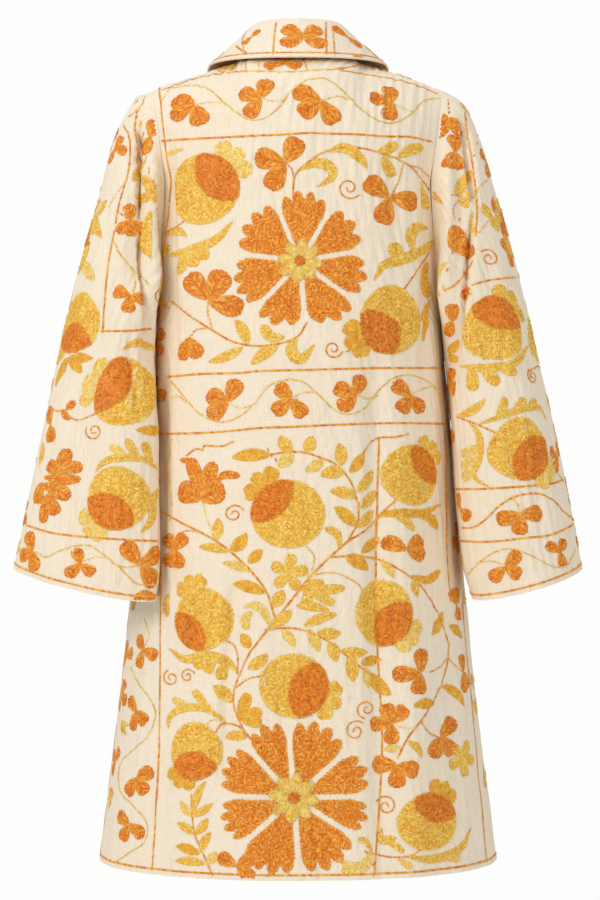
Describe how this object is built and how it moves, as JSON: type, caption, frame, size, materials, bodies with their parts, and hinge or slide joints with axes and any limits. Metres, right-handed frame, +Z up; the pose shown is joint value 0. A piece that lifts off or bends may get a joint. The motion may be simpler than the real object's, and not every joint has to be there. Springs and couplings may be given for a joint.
{
  "type": "coat",
  "caption": "Knee-length A-line cloth coat with a turn-down collar and wide straight sleeves, hollow and filled out as if worn.",
  "frame": {"origin": "base of the neck, midway between the neck ends of the two shoulder seams", "axes": "+Z up, -Y towards the coat's front, +X towards the wearer's left"},
  "size_m": [0.7317, 0.3255, 1.0854],
  "materials": {
    "cloth": "matt woven cotton, cream"
  },
  "bodies": {
    "root": {"back": "cloth", "front_left": "cloth", "front_right": "cloth", "sleeve_left": "cloth", "sleeve_right": "cloth", "collar": "cloth"}
  },
  "joints": []
}
